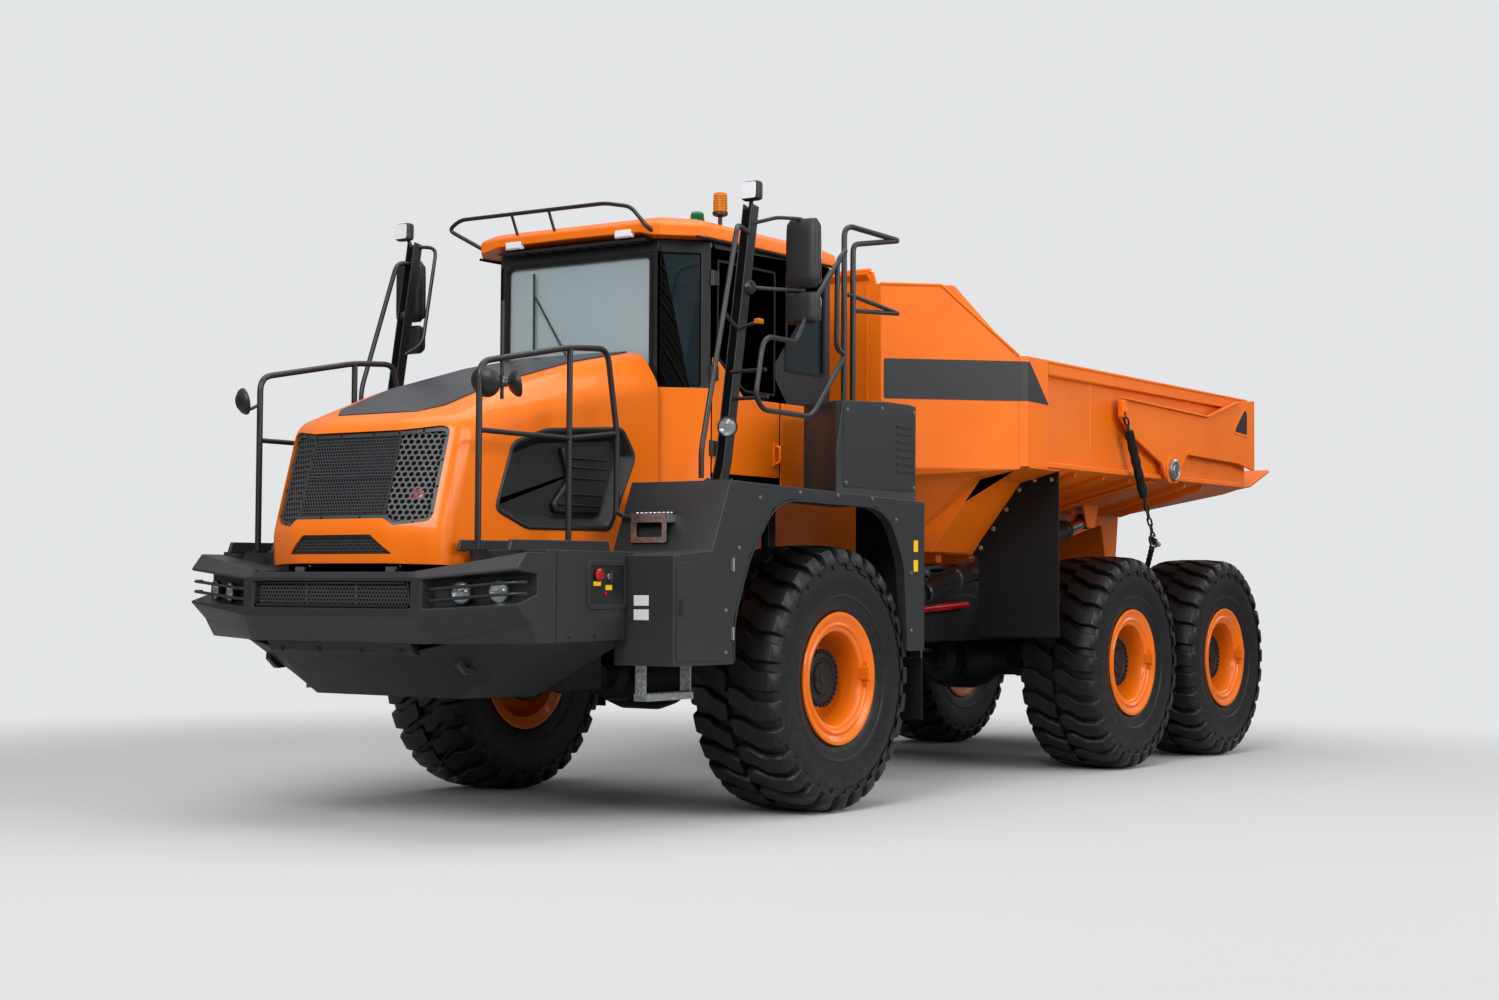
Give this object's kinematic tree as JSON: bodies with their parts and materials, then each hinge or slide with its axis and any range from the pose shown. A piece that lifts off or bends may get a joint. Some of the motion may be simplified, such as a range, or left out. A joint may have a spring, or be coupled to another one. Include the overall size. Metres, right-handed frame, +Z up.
{
  "type": "articulated dump truck",
  "caption": "Articulated six-wheel dump truck with a tilting dump bed, chain-opened tailgate, hinged bonnet and door, and steering at the hitch.",
  "frame": {"origin": "on the ground, at the middle of the overall length and on the centre plane", "axes": "+X forward, +Y to the truck's left, +Z up"},
  "size_m": [9.47, 3.24, 3.7],
  "materials": {
    "orange_paint": "glossy two-layer enamel",
    "anthracite_paint": "satin enamel",
    "tinted_glass": "tinted",
    "black_plastic": "grained",
    "black_rubber": "matte",
    "galvanised_steel": "galvanised",
    "dark_steel": "oiled",
    "tyre": "new, slightly shiny",
    "chromed_rod": "polished"
  },
  "bodies": {
    "tractor": {"front_axle": "anthracite_paint", "front_frame": "anthracite_paint", "engine": "anthracite_paint", "transmission": "anthracite_paint", "belly_guard": "anthracite_paint", "bumper": "anthracite_paint", "cab_shell": "anthracite_paint", "cab_roof": "orange_paint", "windshield": "tinted_glass", "side_window": "tinted_glass", "rear_window": "tinted_glass", "quarter_window": "tinted_glass", "seat": "black_plastic", "dashboard": "black_plastic", "fender_left": "anthracite_paint", "fender_right": "anthracite_paint", "steps_left": "galvanised_steel", "steps_right": "galvanised_steel", "handrail_left": "anthracite_paint", "handrail_right": "anthracite_paint", "mirror_post_left": "anthracite_paint", "mirror_post_right": "anthracite_paint", "platform_rail": "anthracite_paint", "exhaust_stack": "dark_steel"},
    "bonnet_lid": {"bonnet": "orange_paint", "grille": "black_plastic"},
    "door": {"cab_door": "orange_paint", "door_glass": "tinted_glass"},
    "hitch_ring": {"hitch": "anthracite_paint"},
    "rear_chassis": {"rear_frame": "anthracite_paint", "rear_bogie": "anthracite_paint"},
    "dump_body": {"bed_floor": "orange_paint", "bed_side_left": "orange_paint", "bed_side_right": "orange_paint", "bed_headboard": "orange_paint", "mudflap_left": "black_rubber", "mudflap_right": "black_rubber"},
    "tailgate": {"tailgate": "orange_paint"},
    "wheel_front_left": {"tyre_front_left": "tyre", "rim_front_left": "orange_paint"},
    "wheel_front_right": {"tyre_front_right": "tyre", "rim_front_right": "orange_paint"},
    "wheel_middle_left": {"tyre_middle_left": "tyre", "rim_middle_left": "orange_paint"},
    "wheel_middle_right": {"tyre_middle_right": "tyre", "rim_middle_right": "orange_paint"},
    "wheel_rear_left": {"tyre_rear_left": "tyre", "rim_rear_left": "orange_paint"},
    "wheel_rear_right": {"tyre_rear_right": "tyre", "rim_rear_right": "orange_paint"},
    "steer_left_cylinder": {"steer_left_barrel": "anthracite_paint"},
    "steer_left_piston": {"steer_left_rod": "chromed_rod"},
    "steer_right_cylinder": {"steer_right_barrel": "anthracite_paint"},
    "steer_right_piston": {"steer_right_rod": "chromed_rod"},
    "dump_left_cylinder": {"dump_left_barrel": "anthracite_paint"},
    "dump_left_piston": {"dump_left_rod": "chromed_rod"},
    "dump_right_cylinder": {"dump_right_barrel": "anthracite_paint"},
    "dump_right_piston": {"dump_right_rod": "chromed_rod"},
    "chain_left_link": {"chain_left": "dark_steel"},
    "chain_right_link": {"chain_right": "dark_steel"}
  },
  "joints": [
    {"name": "bonnet_tilt", "type": "hinge", "parent": "tractor", "child": "bonnet_lid", "pos_m": [4.605, 0, 1.395], "axis": [0, 1, 0], "range_deg": [0, 60]},
    {"name": "door_swing", "type": "hinge", "parent": "tractor", "child": "door", "pos_m": [2.472, 0.819, 2.6], "axis": [0, 0, -1], "range_deg": [0, 80]},
    {"name": "hitch_roll", "type": "hinge", "parent": "tractor", "child": "hitch_ring", "pos_m": [1.005, 0, 0.9], "axis": [1, 0, 0], "range_deg": [-12, 12]},
    {"name": "steer", "type": "hinge", "parent": "hitch_ring", "child": "rear_chassis", "pos_m": [0.755, 0, 0.9], "axis": [0, 0, 1], "range_deg": [-45, 45]},
    {"name": "dump", "type": "hinge", "parent": "rear_chassis", "child": "dump_body", "pos_m": [-4.105, 0, 1.48], "axis": [0, -1, 0], "range_deg": [0, 70]},
    {"name": "wheel_front_left_spin", "type": "hinge", "parent": "tractor", "child": "wheel_front_left", "pos_m": [2.045, 1.185, 0.7783], "axis": [0, 1, 0], "continuous": true},
    {"name": "wheel_front_right_spin", "type": "hinge", "parent": "tractor", "child": "wheel_front_right", "pos_m": [2.045, -1.185, 0.7783], "axis": [0, 1, 0], "continuous": true},
    {"name": "wheel_middle_left_spin", "type": "hinge", "parent": "rear_chassis", "child": "wheel_middle_left", "pos_m": [-1.98, 1.185, 0.7783], "axis": [0, 1, 0], "continuous": true},
    {"name": "wheel_middle_right_spin", "type": "hinge", "parent": "rear_chassis", "child": "wheel_middle_right", "pos_m": [-1.98, -1.185, 0.7783], "axis": [0, 1, 0], "continuous": true},
    {"name": "wheel_rear_left_spin", "type": "hinge", "parent": "rear_chassis", "child": "wheel_rear_left", "pos_m": [-3.71, 1.185, 0.7783], "axis": [0, 1, 0], "continuous": true},
    {"name": "wheel_rear_right_spin", "type": "hinge", "parent": "rear_chassis", "child": "wheel_rear_right", "pos_m": [-3.71, -1.185, 0.7783], "axis": [0, 1, 0], "continuous": true},
    {"name": "steer_left_swing", "type": "hinge", "parent": "rear_chassis", "child": "steer_left_cylinder", "pos_m": [-0.045, 0.48, 0.79], "axis": [0, 0, 1], "range_deg": [-20, 20]},
    {"name": "steer_left_stroke", "type": "slide", "parent": "steer_left_cylinder", "child": "steer_left_piston", "axis": [0.9602, -0.2791, 0], "range_m": [-0.23, 0.23]},
    {"name": "steer_right_swing", "type": "hinge", "parent": "rear_chassis", "child": "steer_right_cylinder", "pos_m": [-0.045, -0.48, 0.79], "axis": [0, 0, 1], "range_deg": [-20, 20]},
    {"name": "steer_right_stroke", "type": "slide", "parent": "steer_right_cylinder", "child": "steer_right_piston", "axis": [0.9602, 0.2791, 0], "range_m": [-0.23, 0.23]},
    {"name": "dump_left_swing", "type": "hinge", "parent": "rear_chassis", "child": "dump_left_cylinder", "pos_m": [-0.055, 0.72, 1.25], "axis": [0, -1, 0], "range_deg": [-12, 12]},
    {"name": "dump_left_stroke", "type": "slide", "parent": "dump_left_cylinder", "child": "dump_left_piston", "axis": [-0.9752, 0, 0.2213], "range_m": [0, 1.608]},
    {"name": "dump_right_swing", "type": "hinge", "parent": "rear_chassis", "child": "dump_right_cylinder", "pos_m": [-0.055, -0.72, 1.25], "axis": [0, -1, 0], "range_deg": [-12, 12]},
    {"name": "dump_right_stroke", "type": "slide", "parent": "dump_right_cylinder", "child": "dump_right_piston", "axis": [-0.9752, 0, 0.2213], "range_m": [0, 1.608]},
    {"name": "tailgate_swing", "type": "hinge", "parent": "dump_body", "child": "tailgate", "pos_m": [-2.538, 0, 2.212], "axis": [0, 1, 0], "range_deg": [0, 86]},
    {"name": "chain_left_swing", "type": "hinge", "parent": "rear_chassis", "child": "chain_left_link", "pos_m": [-3.185, 1, 1.44], "axis": [0, -1, 0], "range_deg": [0, 58]},
    {"name": "chain_right_swing", "type": "hinge", "parent": "rear_chassis", "child": "chain_right_link", "pos_m": [-3.185, -1, 1.44], "axis": [0, -1, 0], "range_deg": [0, 58]}
  ],
  "couplings": [
    {"joint": "steer_left_swing", "follows": "steer", "ratio": 0.0258},
    {"joint": "steer_left_stroke", "follows": "steer", "m_per_rad": 0.21278},
    {"joint": "steer_right_swing", "follows": "steer", "ratio": 0.0258},
    {"joint": "steer_right_stroke", "follows": "steer", "m_per_rad": -0.21278},
    {"joint": "dump_left_swing", "follows": "dump", "ratio": -0.15717},
    {"joint": "dump_left_stroke", "follows": "dump", "m_per_rad": 1.2995},
    {"joint": "dump_right_swing", "follows": "dump", "ratio": -0.15717},
    {"joint": "dump_right_stroke", "follows": "dump", "m_per_rad": 1.2995},
    {"joint": "tailgate_swing", "follows": "dump", "ratio": 1.2086},
    {"joint": "chain_left_swing", "follows": "dump", "ratio": 0.8058},
    {"joint": "chain_right_swing", "follows": "dump", "ratio": 0.8058}
  ]
}
